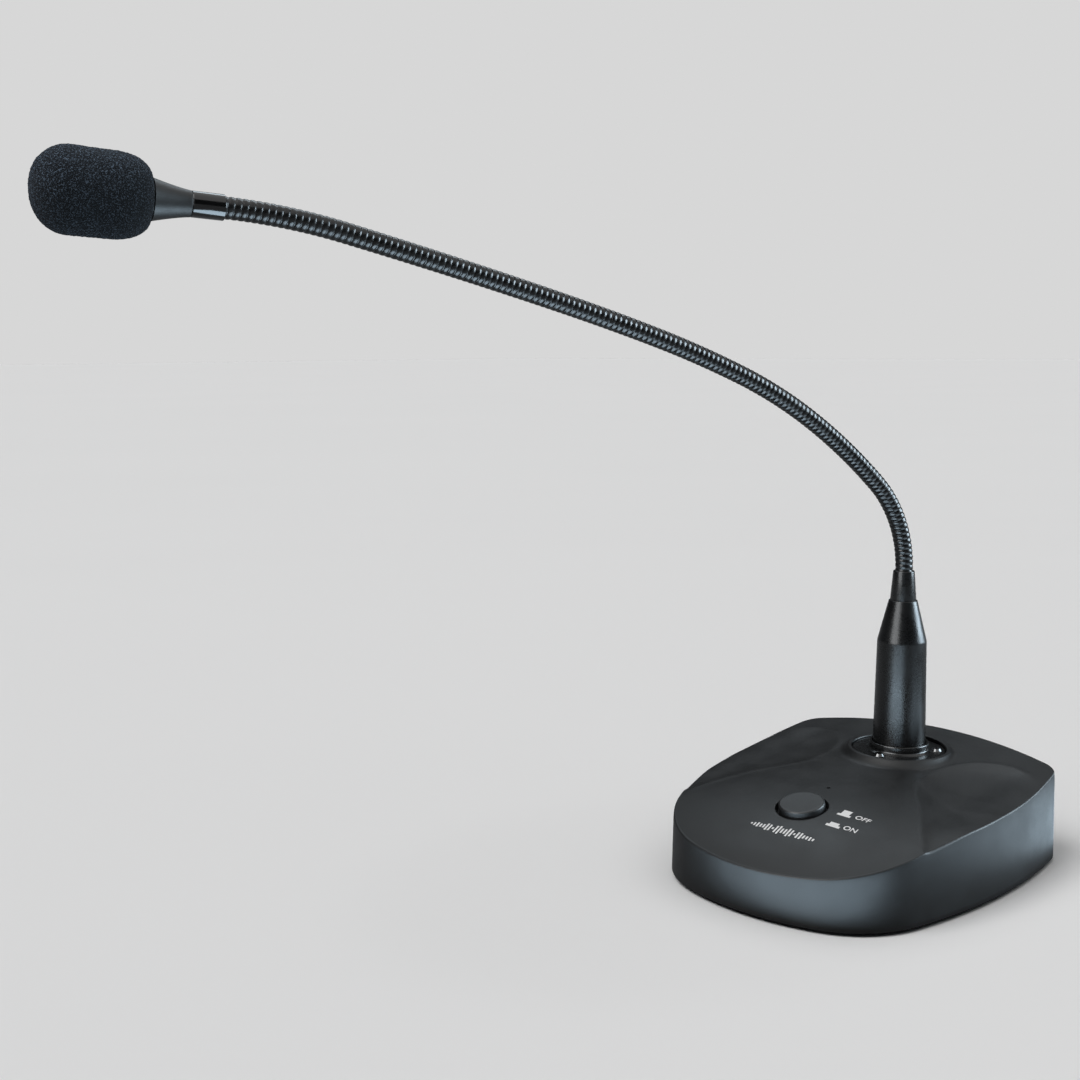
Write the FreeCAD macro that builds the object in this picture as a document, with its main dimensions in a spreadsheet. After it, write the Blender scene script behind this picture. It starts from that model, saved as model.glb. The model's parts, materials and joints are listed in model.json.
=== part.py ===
"""Gooseneck desk microphone: a weighted base with a push switch, a plug-in stem,
a bendable neck of eight hinged spans, and a capsule under a foam windscreen.

Millimetres and degrees. +Z is up, the front of the base faces -Y, and the origin
is on the table under the middle of the base. Every size that drives the shape is
a cell of the sheet Dims, and the sub-parts take their sizes from it.
"""
import FreeCAD, Part
import math
import os
import Sketcher
from FreeCAD import Placement, Rotation, Vector

doc = FreeCAD.newDocument("GooseneckMicrophone")
sheet = doc.addObject("Spreadsheet::Sheet", "Dims")

DIMENSIONS = {
    # base outline, in plan
    "front_reach": 71.2, "back_reach": 73.0, "side_reach": 62.8, "side_middle": 24.0,
    "front_arc": 90.0, "side_arc": 230.0, "back_arc": 211.0,
    "front_corner": 40.0, "back_corner": 10.0, "wall_draft": 1.3,
    # base heights
    "foot_height": 1.5, "wall": 2.5, "plate_thick": 2.0, "plate_gap": 0.3,
    "crown_arc": 400.0, "pad_height": 50.0, "dish_radius": 150.0, "dish_depth": 1.6,
    "dish_across": 47.0, "dish_along": 12.0, "dish_crown": 37.4, "dish_lean": 6.5, "dish_pitch": 4.5,
    # fasteners of the base
    "boss_radius": 3.5, "pilot_radius": 1.3, "screw_shank": 1.2, "screw_head": 2.8,
    "screw_head_height": 1.1, "screw_length": 9.0,
    "ring_inset": 3.4, "ring_width": 3.8,
    # power button and its deck, in the frame of the button
    "button_along": -33.1, "button_height": 32.6, "button_tilt": 11.3,
    "button_radius": 9.0, "button_hole": 10.1, "button_proud": 3.0, "button_travel": 2.5,
    "button_flange": 11.4, "button_foot": 4.3,
    "plunger_radius": 2.0, "plunger_length": 8.0,
    "switch_size": 12.0, "switch_top": 8.6, "board_top": 16.0, "board_thick": 1.6,
    "board_width": 54.0, "board_length": 37.5, "board_front": 16.0,
    "led_along": 19.4, "led_radius": 1.5, "led_window": 0.8,
    # battery compartment
    "cell_radius": 7.25, "cell_length": 49.5, "nub_radius": 2.7, "cell_gap": 0.5,
    "battery_across": 37.5, "battery_front": -6.5, "battery_long": 56.0,
    "battery_wide": 31.0, "battery_high": 16.0, "tray_wall": 1.5,
    "door_gap": 0.3, "hinge_barrel": 1.0, "hinge_pin": 0.6,
    # ballast
    "ballast_wide": 30.0, "ballast_long": 54.0, "ballast_high": 16.0,
    # output jack
    "jack_bore": 3.2, "jack_height": 10.0, "bushing_radius": 4.5, "bushing_proud": 3.6,
    "bushing_length": 12.5, "jack_body": 12.0, "jack_body_length": 20.0,
    # stem socket
    "stem_along": 40.4, "rim_height": 40.4, "rim_radius": 20.6, "recess_radius": 19.3,
    "flange_radius": 18.9, "flange_thick": 1.4, "flange_top": 39.7,
    "collar_radius": 12.0, "collar_bore": 11.2, "collar_height": 3.5,
    "socket_radius": 11.4, "socket_bore": 8.3, "socket_floor": 31.0, "socket_bottom": 18.0,
    "nose_foot": 31.6, "plug_top": 52.7, "cable_foot": 58.0,
    "contact_circle": 4.2, "contact_radius": 2.1, "contact_bore": 1.4, "pin_radius": 1.2,
    # stem
    "sleeve_foot": 40.1, "sleeve_foot_radius": 10.8, "shoulder": 86.0, "shoulder_radius": 10.0,
    "cone_top": 103.0, "cone_top_radius": 5.7, "sleeve_wall": 2.0, "cable_bore": 2.3,
    "ferrule_foot_radius": 5.4, "ferrule_top_radius": 4.4,
    # neck
    "neck_foot": 115.8, "neck_heading": 20.7, "span": 40.5, "joint_gap": 1.7,
    "conduit_radius": 3.5, "conduit_bore": 2.2, "cable_radius": 1.2, "cable_gap": 0.7,
    # head, along its own axis from the end of the neck
    "upper_ferrule_length": 10.6, "upper_ferrule_radius": 4.1,
    "boot_end": 22.4, "boot_flare": 6.7, "housing_radius": 6.0, "housing_wall": 0.8,
    "housing_end": 46.5, "grille_thick": 1.0, "capsule_radius": 4.9, "capsule_length": 6.5,
    "foam_start": 22.8, "foam_end": 58.0, "foam_radius": 13.3, "foam_bore": 6.5,
    "foam_bore_end": 50.5, "foam_front_round": 11.2, "foam_back_round": 6.5,
}
SPINE = [(-76.0, 15.5), (-71.2, 18.4), (-60.0, 24.0), (-49.6, 28.1), (-33.1, 32.6),
         (0.0, 36.3), (37.0, 39.0), (80.0, 43.6)]      # y, z of the crown line
NECK_BENDS = [46.3, 9.6, 11.0, 4.8, 2.0, 0.9, 0.8, 10.3]   # bend of each span at rest

DIMENSIONS.update({f"spine_{axis}{i}": point[k]
                   for i, point in enumerate(SPINE) for k, axis in enumerate(("along", "height"))})
DIMENSIONS.update({f"bend_of_{i}": bend for i, bend in enumerate(NECK_BENDS, 1)})
for row, (alias, size) in enumerate(DIMENSIONS.items(), 1):
    sheet.set(f"A{row}", alias)
    sheet.set(f"B{row}", str(size))
    sheet.setAlias(f"B{row}", alias)
doc.recompute()

X, Y, Z = Vector(1, 0, 0), Vector(0, 1, 0), Vector(0, 0, 1)
nodes = []


def value(formula):
    """The number that a formula in the sheet's aliases comes to; a number stays itself."""
    if not isinstance(formula, str):
        return float(formula)
    result = sheet.evalExpression(formula)
    return float(getattr(result, "Value", result))


def from_sheet(formula):
    """The formula as another object of the document writes it."""
    words = formula.replace("(", " ( ").replace(")", " ) ").split()
    return " ".join("Dims." + word if word in DIMENSIONS else word for word in words)


def bind(item, **formulas):
    """Tie properties of an object to formulas in the sheet's aliases."""
    for name, formula in formulas.items():
        if isinstance(formula, str):
            item.setExpression(name, from_sheet(formula))
        else:
            setattr(item, name, formula)
    return item


def at(x=0, y=0, z=0, turn=None):
    return Placement(Vector(value(x), value(y), value(z)), turn or Rotation())


def node(item, label):
    """Name a sub-part; its label is the name of its file."""
    item.Label = label
    nodes.append(item)
    return item


# ---- Part primitives ----
def cylinder(name, radius, height, place=Placement()):
    item = doc.addObject("Part::Cylinder", name)
    bind(item, Radius=radius, Height=height)
    item.Placement = place
    return item


def cone(name, low_radius, high_radius, height, place=Placement()):
    item = doc.addObject("Part::Cone", name)
    bind(item, Radius1=low_radius, Radius2=high_radius, Height=height)
    item.Placement = place
    return item


def box(name, wide, long, high, place=Placement()):
    """A box standing on the middle of its own floor."""
    item = doc.addObject("Part::Box", name)
    bind(item, Length=wide, Width=long, Height=high)
    item.Placement = place * Placement(Vector(-value(wide) / 2, -value(long) / 2, 0), Rotation())
    return item


def fuse(name, *items):
    item = doc.addObject("Part::MultiFuse", name)
    item.Shapes = list(items)
    return item


def cut(name, base, *tools):
    item = doc.addObject("Part::Cut", name)
    item.Base = base
    item.Tool = tools[0] if len(tools) == 1 else fuse(name + "Tools", *tools)
    return item


def common(name, first, second):
    item = doc.addObject("Part::MultiCommon", name)
    item.Shapes = [first, second]
    return item


def group(label, items):
    """Separate solids of one kind, kept in one node."""
    item = doc.addObject("Part::Compound", label)
    item.Links = list(items)
    return node(item, label)


# ---- PartDesign ----
def new_body(name, place=Placement()):
    body = doc.addObject("PartDesign::Body", name)
    body.Placement = place
    return body


def new_sketch(body, name, role, offset=Placement()):
    sketch = body.newObject("Sketcher::SketchObject", name)
    plane = next(f for f in body.Origin.OriginFeatures if f.Role == role)
    sketch.AttachmentSupport = [(plane, "")]
    sketch.MapMode = "FlatFace"
    sketch.AttachmentOffset = offset
    return sketch


def fix_point(sketch, edge, end, x, y):
    """Hold one end of an edge at two formulas measured from the sketch's origin."""
    for kind, formula, axis in (("DistanceX", x, -2), ("DistanceY", y, -1)):
        if value(formula) == 0:
            sketch.addConstraint(Sketcher.Constraint("PointOnObject", edge, end, axis))
            continue
        datum = Sketcher.Constraint(kind, -1, 1, edge, end, value(formula))
        index = sketch.addConstraint(datum)
        if isinstance(formula, str):
            sketch.setExpression(f"Constraints[{index}]", from_sheet(formula))


def closed_profile(sketch, corners):
    """A closed outline of straight edges whose corners are pairs of formulas."""
    points = [Vector(value(x), value(y), 0) for x, y in corners]
    count = len(points)
    for i in range(count):
        sketch.addGeometry(Part.LineSegment(points[i], points[(i + 1) % count]), False)
    for i in range(count):
        sketch.addConstraint(Sketcher.Constraint("Coincident", i, 2, (i + 1) % count, 1))
    for i, (x, y) in enumerate(corners):
        fix_point(sketch, i, 1, x, y)


def circle(sketch, radius, x=0, y=0):
    """A circle whose radius and middle are formulas."""
    edge = sketch.addGeometry(Part.Circle(Vector(value(x), value(y), 0), Z, value(radius)), False)
    index = sketch.addConstraint(Sketcher.Constraint("Radius", edge, value(radius)))
    if isinstance(radius, str):
        sketch.setExpression(f"Constraints[{index}]", from_sheet(radius))
    fix_point(sketch, edge, 3, x, y)
    return edge


def turned(name, corners, place=Placement(), rounds=()):
    """A piece turned about its own Z axis from radius and height pairs, with rounded edges."""
    body = new_body(name, place)
    sketch = new_sketch(body, name + "Profile", "XZ_Plane")
    closed_profile(sketch, corners)
    turn = body.newObject("PartDesign::Revolution", name + "Turn")
    turn.Profile = sketch
    turn.ReferenceAxis = (sketch, ["V_Axis"])
    turn.Angle = 360
    last = turn
    for radius, height, size in rounds:
        doc.recompute()
        edges = [f"Edge{i}" for i, edge in enumerate(last.Shape.Edges, 1)
                 if isinstance(edge.Curve, Part.Circle)
                 and abs(edge.Curve.Radius - value(radius)) < 1e-4
                 and abs(edge.Curve.Center.z - value(height)) < 1e-4]
        rounded = body.newObject("PartDesign::Fillet", f"{name}Round{len(body.Group)}")
        rounded.Base = (last, edges)
        bind(rounded, Radius=size)
        last = rounded
    return body


def pipe(name, points, radius, bend):
    """A round lead along straight runs joined by arcs, both ends square to their runs."""
    corners = [Vector(*point) for point in points]
    edges = []
    start = corners[0]
    for before, corner, after in zip(corners, corners[1:], corners[2:]):
        come, go = (before - corner).normalize(), (after - corner).normalize()
        half = come.getAngle(go) / 2
        reach = bend / math.tan(half)
        first, last = corner + come * reach, corner + go * reach
        middle = corner + (come + go).normalize() * (bend / math.sin(half) - bend)
        edges.append(Part.LineSegment(start, first).toShape())
        edges.append(Part.Arc(first, middle, last).toShape())
        start = last
    edges.append(Part.LineSegment(start, corners[-1]).toShape())
    section = Part.Wire(Part.makeCircle(radius, corners[0], corners[1] - corners[0]))
    item = doc.addObject("Part::Feature", name)
    item.Shape = Part.Wire(edges).makePipeShell([section], True, False)
    return item


def coil_spring(name, radius, wire, length, turns, place=Placement()):
    """A helical spring of round wire standing on its own floor, its ends cut square."""
    rise = length - 2 * wire
    helix = Part.makeLongHelix(rise / turns, rise, radius)
    heading = Vector(0, 2 * math.pi * radius, rise / turns)
    section = Part.Wire(Part.makeCircle(wire, Vector(radius, 0, 0), heading))
    item = doc.addObject("Part::Feature", name)
    item.Shape = Part.Wire(helix.Edges).makePipeShell([section], True, True)
    item.Placement = place * at(z=wire)
    return item


def screw(name, head_radius, head_height, shank_radius, length, place):
    """A pan-head screw with a cross recess, its head up and its seat at its origin."""
    head = cone(name + "Head", head_radius, f"( {head_radius} ) * 0.72", head_height)
    shank = cylinder(name + "Shank", shank_radius, length, at(z=-length))
    slots = [box(f"{name}Slot{i}", f"( {head_radius} ) * 1.1", 0.5, 0.8,
                 at(z=value(head_height) - 0.6, turn=Rotation(Z, 90 * i))) for i in range(2)]
    item = cut(name, fuse(name + "Blank", head, shank), *slots)
    item.Placement = place
    return item


# ---- base outline and crown ----
def outline_arcs(inset):
    """Centre, radius and the two end points of each arc round the base, counter-clockwise.

    The front, side and back arcs are joined by corner arcs that touch both neighbours,
    so the centre of each corner arc lies on two circles about its neighbours' centres.
    """
    front = (Vector(0, value("front_arc") - value("front_reach"), 0), value("front_arc"))
    side = (Vector(value("side_reach") - value("side_arc"), value("side_middle"), 0),
            value("side_arc"))
    back = (Vector(0, value("back_reach") - value("back_arc"), 0), value("back_arc"))
    chain = [front]
    for first, second, radius, low in ((front, side, value("front_corner"), True),
                                       (side, back, value("back_corner"), False)):
        chain += [(meeting(first, second, radius, low), radius), second]
    right = [touching(first, second, inset) for first, second in zip(chain, chain[1:])]
    arcs = []
    for i in range(1, len(chain) - 1):
        arcs.append((chain[i][0], chain[i][1] - inset, right[i - 1], right[i]))
    mirror = [Vector(-point.x, point.y, 0) for point in right]
    left = [(Vector(-c.x, c.y, 0), r, Vector(-b.x, b.y, 0), Vector(-a.x, a.y, 0))
            for c, r, a, b in reversed(arcs)]
    back_arc = (back[0], back[1] - inset, right[-1], mirror[-1])
    front_arc = (front[0], front[1] - inset, mirror[0], right[0])
    return arcs + [back_arc] + left + [front_arc]


def touching(first, second, inset):
    """Where two arcs that touch from inside meet, once both are pulled in by inset."""
    (wide, wide_radius), (tight, _) = sorted((first, second), key=lambda arc: -arc[1])
    return wide + (tight - wide).normalize() * (wide_radius - inset)


def meeting(first, second, radius, low):
    """Centre of an arc of the given radius that touches two larger arcs from inside."""
    (one, one_radius), (two, two_radius) = first, second
    reach_one, reach_two = one_radius - radius, two_radius - radius
    gap = two - one
    along = (reach_one ** 2 - reach_two ** 2 + gap.Length ** 2) / (2 * gap.Length)
    across = math.sqrt(reach_one ** 2 - along ** 2)
    unit = gap / gap.Length
    normal = Vector(-unit.y, unit.x, 0)
    found = [one + unit * along + normal * (across * sign) for sign in (1, -1)]
    found = [point for point in found if point.x > 0]
    return min(found, key=lambda point: point.y if low else -point.y)


def draw_outline(sketch, inset):
    """The base outline, pulled in by inset all round."""
    for middle, radius, start, end in outline_arcs(inset):
        a = math.atan2(start.y - middle.y, start.x - middle.x)
        b = math.atan2(end.y - middle.y, end.x - middle.x)
        if b < a:
            b += 2 * math.pi
        sketch.addGeometry(Part.ArcOfCircle(Part.Circle(middle, Z, radius), a, b), False)


def dome(name, inset, drop, floor):
    """The solid under the crowned top, pulled in by inset and lowered by drop."""
    body = new_body(name)
    outline = new_sketch(body, name + "Outline", "XY_Plane", at(z=floor))
    draw_outline(outline, value(inset))
    pad = body.newObject("PartDesign::Pad", name + "Pad")
    pad.Profile = outline
    bind(pad, Length="pad_height", TaperAngle="0 - wall_draft")
    spine = new_sketch(body, name + "Spine", "YZ_Plane")
    line = Part.BSplineCurve()
    line.interpolate([Vector(value(f"spine_along{i}"), value(f"spine_height{i}") - value(drop), 0)
                      for i in range(len(SPINE))])
    spine.addGeometry(line, False)
    start = SPINE[0]
    section = new_sketch(body, name + "Section", "XZ_Plane", at(z=-start[0]))
    peak, half, roof = start[1] - value(drop), 75.0, 60.0
    sag = value("crown_arc") - math.sqrt(value("crown_arc") ** 2 - half ** 2)
    left, top, right = (Vector(-half, peak - sag, 0), Vector(0, peak, 0),
                        Vector(half, peak - sag, 0))
    section.addGeometry(Part.Arc(left, top, right), False)
    for a, b in ((right, right + Y * roof), (right + Y * roof, left + Y * roof),
                 (left + Y * roof, left)):
        section.addGeometry(Part.LineSegment(a, b), False)
    trim = body.newObject("PartDesign::SubtractivePipe", name + "Crown")
    trim.Profile = section
    trim.Spine = (spine, [])
    trim.Mode = "Fixed"
    return body


# ---- base shell ----
deck = at(y="button_along", z="button_height", turn=Rotation(X, value("button_tilt")))
stem_axis = at(y="stem_along")


def on_deck(x=0, y=0, z=0, turn=None):
    return deck * at(x, y, z, turn)


def on_stem(x=0, y=0, z=0, turn=None):
    return stem_axis * at(x, y, z, turn)


SHELL_BOSSES = [(-41, -40), (41, -40), (-20, 60), (20, 60)]
BOARD_POSTS = [(-23, 2), (23, 2)]
FLANGE_SCREW_ANGLES = [28, 148, 268]
FLANGE_SCREW_CIRCLE = 15.2

outer = dome("Outer", 0, 0, "foot_height")
cavity = dome("Cavity", "wall", "wall", "foot_height - 1")
doc.recompute()
hollow = cut("HollowShell", outer, cavity)
plate_top = "foot_height + plate_thick"
bosses = [cylinder(f"Boss{i}", "boss_radius", "pad_height", at(x, y, plate_top))
          for i, (x, y) in enumerate(SHELL_BOSSES)]
posts = [cylinder(f"Post{i}", "boss_radius - 0.5", 30, on_deck(x, y, "0 - board_top"))
         for i, (x, y) in enumerate(BOARD_POSTS)]
under_rim = cylinder("UnderRim", "rim_radius + 1", 30, on_stem(z="flange_top - 7"))
inside = common("InnerPosts", fuse("PostBlanks", *bosses, *posts, under_rim), outer)
rim_slope = cone("RimSlope", "rim_radius + 5", "rim_radius", 4.6, on_stem(z="rim_height - 4.6"))
dishes = []
for side in (-1, 1):
    x, y = side * value("dish_across"), value("dish_along")
    floor = value("dish_crown - dish_depth") - x * x / (2 * value("crown_arc"))
    lean = Rotation(Y, side * value("dish_lean")) * Rotation(X, value("dish_pitch"))
    ball = doc.addObject("Part::Sphere", f"Dish{side + 2}")
    bind(ball, Radius="dish_radius")
    ball.Placement = at(x, y, floor, lean) * at(z="dish_radius")
    dishes.append(ball)
pilots = [cylinder(f"Pilot{i}", "pilot_radius", "screw_length + 1", at(x, y, plate_top))
          for i, (x, y) in enumerate(SHELL_BOSSES)]
pilots += [cylinder(f"PostPilot{i}", "pilot_radius", "screw_length - 1", on_deck(x, y, "0 - board_top"))
           for i, (x, y) in enumerate(BOARD_POSTS)]
pilots += [cylinder(f"FlangePilot{i}", "pilot_radius", 5, on_stem(z="flange_top - flange_thick - 4.5")
                    * at(turn=Rotation(Z, angle)) * at(x=FLANGE_SCREW_CIRCLE))
           for i, angle in enumerate(FLANGE_SCREW_ANGLES)]
openings = [
    cylinder("ButtonHole", "button_hole", 20, on_deck(z=-8)),
    cylinder("LedWindow", "led_window", 20, on_deck(y="led_along", z=-10)),
    cylinder("Recess", "recess_radius", 10, on_stem(z="flange_top - flange_thick")),
    cylinder("SocketHole", "socket_radius + 0.2", 20, on_stem(z="flange_top - 12")),
    cylinder("JackHole", "bushing_radius + 0.1", 20, at(0, 60, "jack_height", Rotation(X, -90))),
]
shell_blank = fuse("ShellBlank", cut("DishedShell", hollow, *dishes), inside,
                   cut("RimRing", rim_slope, cylinder("RimCore", "rim_radius - 3", 20,
                                                      on_stem(z="rim_height - 10"))))
node(cut("BaseShell", shell_blank, *openings, *pilots), "base_shell")

# ---- base plate, foot ring, screws, ballast ----
plate = new_body("PlateBody")
plate_outline = new_sketch(plate, "PlateOutline", "XY_Plane", at(z="foot_height"))
draw_outline(plate_outline, value("wall + plate_gap"))
plate_pad = plate.newObject("PartDesign::Pad", "PlatePad")
plate_pad.Profile = plate_outline
bind(plate_pad, Length="plate_thick")
battery_middle = value("battery_front + battery_long / 2")
hinge_line = at("battery_across", "battery_front + door_gap + hinge_barrel",
                "foot_height + hinge_barrel", Rotation(Y, 90))
hatch = box("Hatch", "battery_wide", "battery_long", 10,
            at("battery_across", battery_middle, -3))
pin_reach = "battery_wide + 2.6"
pin_holes = cylinder("PinHoles", "hinge_pin + 0.05", "battery_wide + 3.2",
                     hinge_line * at(z=-value("battery_wide + 3.2") / 2))
plate_holes = [cylinder(f"PlateHole{i}", "screw_shank + 0.3", 10, at(x, y, -2))
               for i, (x, y) in enumerate(SHELL_BOSSES)]
node(cut("BasePlate", plate, hatch, pin_holes, *plate_holes), "base_plate")

ring = new_body("FootRing")
ring_outline = new_sketch(ring, "FootRingOutline", "XY_Plane")
draw_outline(ring_outline, value("ring_inset"))
draw_outline(ring_outline, value("ring_inset + ring_width"))
ring_pad = ring.newObject("PartDesign::Pad", "FootRingPad")
ring_pad.Profile = ring_outline
bind(ring_pad, Length="foot_height")
node(ring, "rubber_foot_ring")
group("base_screws", [screw(f"BaseScrew{i}", "screw_head", "screw_head_height", "screw_shank",
                            value("screw_length"), at(x, y, "foot_height", Rotation(X, 180)))
                      for i, (x, y) in enumerate(SHELL_BOSSES)])
ballast = box("BallastBlank", "ballast_wide", "ballast_long", "ballast_high",
              at(-value("battery_across"), battery_middle, plate_top))
ballast_edges = doc.addObject("Part::Chamfer", "BallastChamfer")
ballast_edges.Base = ballast
doc.recompute()
ballast_edges.Edges = [(i, 1.5, 1.5) for i, edge in enumerate(ballast.Shape.Edges, 1)
                       if abs(edge.BoundBox.ZLength - value("ballast_high")) < 0.01]
node(ballast_edges, "ballast_block")

# ---- battery compartment ----
tray_blank = box("TrayBlank", "battery_wide + 2 * tray_wall", "battery_long + 2 * tray_wall",
                 "battery_high + tray_wall", at("battery_across", battery_middle, plate_top))
tray_room = box("TrayRoom", "battery_wide", "battery_long", "battery_high",
                at("battery_across", battery_middle, plate_top))
node(cut("BatteryTray", tray_blank, tray_room), "battery_box")

cell_height = value("foot_height + plate_thick + 0.7 + cell_radius")
front_wall, back_wall = value("battery_front"), value("battery_front + battery_long")
cells, springs, contacts = [], [], []
for i, toward in enumerate((1, -1)):
    x = value("battery_across") + (i - 0.5) * value("battery_wide") / 2
    wall_y = back_wall if toward > 0 else front_wall
    nub_end = wall_y - toward * value("cell_gap")
    along = Rotation(X, -90 * toward)
    start = nub_end - toward * value("cell_length + 1")
    cells.append(turned(f"Cell{i}", [(0, 0), ("cell_radius", 0), ("cell_radius", "cell_length"),
                                     ("nub_radius", "cell_length"), ("nub_radius", "cell_length + 1"),
                                     (0, "cell_length + 1")], at(x, start, cell_height, along)))
    other_y = front_wall if toward > 0 else back_wall
    spring_room = abs(start - other_y) - value("cell_gap")
    springs.append(coil_spring(f"CellSpring{i}", 3.2, 0.35, spring_room, 3,
                               at(x, other_y + toward * value("cell_gap"), cell_height, along)))
    for j, y in enumerate((front_wall, back_wall)):
        thin = value("cell_gap")
        contacts.append(box(f"Contact{i}{j}", 11, "cell_gap", 12,
                            at(x, y + thin / 2 if j == 0 else y - thin / 2, cell_height - 6)))
group("battery_cells", cells)
group("battery_springs", springs)
group("battery_contacts", contacts)

door_leaf = box("DoorLeaf", "battery_wide - 2 * door_gap",
                "battery_long - 2 * door_gap - hinge_barrel", "plate_thick",
                at("battery_across", battery_middle + value("hinge_barrel") / 2, "foot_height"))
door_barrel = cylinder("DoorBarrel", "hinge_barrel", "battery_wide - 2 * door_gap",
                       hinge_line * at(z=-value("battery_wide - 2 * door_gap") / 2))
door_pin = cylinder("DoorPin", "hinge_pin", pin_reach, hinge_line * at(z=-value(pin_reach) / 2))
finger_grip = cylinder("FingerGrip", 6, 0.8, at("battery_across", back_wall - 9, "foot_height"))
node(cut("BatteryDoor", fuse("DoorBlank", door_leaf, door_barrel, door_pin), finger_grip),
     "battery_door")

# ---- circuit board and what stands on it ----
board_middle = value("board_length / 2 - board_front")
board_bottom = "0 - board_top - board_thick"
board_blank = box("BoardBlank", "board_width", "board_length", "board_thick",
                  on_deck(0, board_middle, board_bottom))
board_holes = [cylinder(f"BoardHole{i}", "pilot_radius + 0.1", 8, on_deck(x, y, -20))
               for i, (x, y) in enumerate(BOARD_POSTS)]
node(cut("Board", board_blank, *board_holes), "circuit_board")
under = Rotation(X, 180)
group("board_screws", [screw(f"BoardScrew{i}", 2.4, 1.2, "screw_shank", 7,
                             on_deck(x, y, board_bottom, under))
                       for i, (x, y) in enumerate(BOARD_POSTS)])
group("capacitors", [turned(f"Capacitor{i}", [(0, 0), (2.9, 0), (2.9, 7.5), (2.4, 8), (0, 8)],
                            on_deck(x, y, "0 - board_top"))
                     for i, (x, y) in enumerate([(-16, 15), (16, 15), (-21, -9)])])
group("resistors", [turned(f"Resistor{i}", [(0, 0), (0.9, 0), (1.1, 0.8), (1.1, 5.2), (0.9, 6), (0, 6)],
                           on_deck(x, 11, -value("board_top") + 1.15, Rotation(X, -90)))
                    for i, x in enumerate((-9, -5.5, 5.5, 9))])
transformer_core = box("TransformerCore", 16, 9, 8.5, on_deck(-4, 0, board_bottom) * at(z=-8.5))
transformer_coil = box("TransformerCoil", 9, 13, 6, on_deck(-4, 0, board_bottom) * at(z=-7.2))
node(fuse("Transformer", transformer_core, transformer_coil), "output_transformer")
led_base = "0 - board_top"
led_shape = turned("LedLens", [(0, 0), ("led_radius + 0.3", 0), ("led_radius + 0.3", 0.8),
                               ("led_radius", 0.8), ("led_radius", 3.6), (0, 3.6)],
                   on_deck(y="led_along", z=-8.4), [("led_radius", 3.6, 1.3)])
led_legs = [cylinder(f"LedLeg{i}", 0.25, "board_top - 8", on_deck(x, "led_along", led_base))
            for i, x in enumerate((-0.7, 0.7))]
node(fuse("Led", led_shape, *led_legs), "status_led")

# ---- push switch and power button ----
switch_height = "board_top - switch_top"
switch_case = box("SwitchCase", "switch_size", "switch_size", switch_height, on_deck(z="0 - board_top"))
plunger_foot = -value("button_foot + plunger_length")
plunger_well = cylinder("PlungerWell", "plunger_radius + 0.3", 20,
                        on_deck(z=plunger_foot - value("button_travel") - 0.3))
node(cut("SwitchHousing", switch_case, plunger_well), "switch_housing")
node(turned("Plunger", [(0, 0), ("plunger_radius", 0), ("plunger_radius", "plunger_length"),
                        (0, "plunger_length")], on_deck(z=plunger_foot)), "switch_plunger")
cap_height = "button_foot + button_proud"
node(turned("ButtonCap", [(0, 0), ("button_flange", 0), ("button_flange", 1.2), ("button_radius", 1.2),
                          ("button_radius", f"{cap_height} - 0.9"),
                          ("button_radius - 0.9", cap_height), (0, f"{cap_height} - 0.15")],
            on_deck(z="0 - button_foot")), "power_button")
node(coil_spring("ButtonSpring", 3.3, 0.25, value("switch_top - button_foot"), 3,
                 on_deck(z="0 - switch_top")), "button_spring")

# ---- output jack at the back ----
outward = Rotation(X, -90)
jack_face = value("back_reach + bushing_proud")


def on_jack(depth, x=0, z=0):
    """A place on the jack's axis, depth inside its mouth, with Z pointing out of the mouth."""
    return at(x, jack_face - value(depth), value("jack_height") + z, outward)


tube = cylinder("JackTube", "bushing_radius", "bushing_length", on_jack("bushing_length"))
collar = cylinder("JackShoulder", "jack_body / 2", 1.5, on_jack("bushing_length"))
jack_way = cylinder("JackWay", "jack_bore", 60, on_jack(50))
node(cut("JackBushing", fuse("BushingBlank", tube, collar), jack_way), "output_jack_bushing")
jack_case = box("JackCase", "jack_body", "jack_body_length", "jack_body",
                on_jack("bushing_length + jack_body_length / 2") * at(y=0)
                * Placement(Vector(0, value("jack_body") / 2, 0), Rotation(X, 90)))
jack_room = cylinder("JackRoom", "jack_bore + 1.9", "jack_body_length - 1.5",
                     on_jack("bushing_length + jack_body_length - 1.5"))
node(cut("JackBody", jack_case, jack_room), "output_jack_body")
nut_blank = doc.addObject("Part::Prism", "JackNutBlank")
bind(nut_blank, Circumradius="bushing_radius + 2.6", Height=2.2)
nut_blank.Placement = on_jack("bushing_proud - 0.15")
node(cut("JackNut", nut_blank, cylinder("NutBore", "bushing_radius", 10, on_jack(8))),
     "output_jack_nut")
strips = []
for i, (depth, turn) in enumerate(((18, 0), (27, 180), (29, 0))):
    strips.append(box(f"JackStrip{i}", 2.4, 1.2, 5,
                      on_jack(depth) * at(turn=Rotation(Z, turn))
                      * at(y=value("jack_bore") + 0.9)))
group("output_jack_contacts", strips)

# ---- stem socket: flange, insulator, contacts, screws ----
flange = turned("FlangeBody", [("socket_bore", 0), ("flange_radius", 0), ("flange_radius", "flange_thick"),
                               ("collar_radius + 0.6", "flange_thick"),
                               ("collar_radius", "flange_thick + 0.6"),
                               ("collar_radius", "flange_thick + collar_height"),
                               ("collar_bore", "flange_thick + collar_height"),
                               ("collar_bore", "flange_thick"), ("socket_bore", "flange_thick")],
                on_stem(z="flange_top - flange_thick"),
                [("collar_radius", "flange_thick + collar_height", 0.35)])


def round_flange(name, radius, circle_radius, angles, low, height):
    return [cylinder(f"{name}{i}", radius, height, on_stem(z=low, turn=Rotation(Z, angle))
                     * at(x=circle_radius)) for i, angle in enumerate(angles)]


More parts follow.
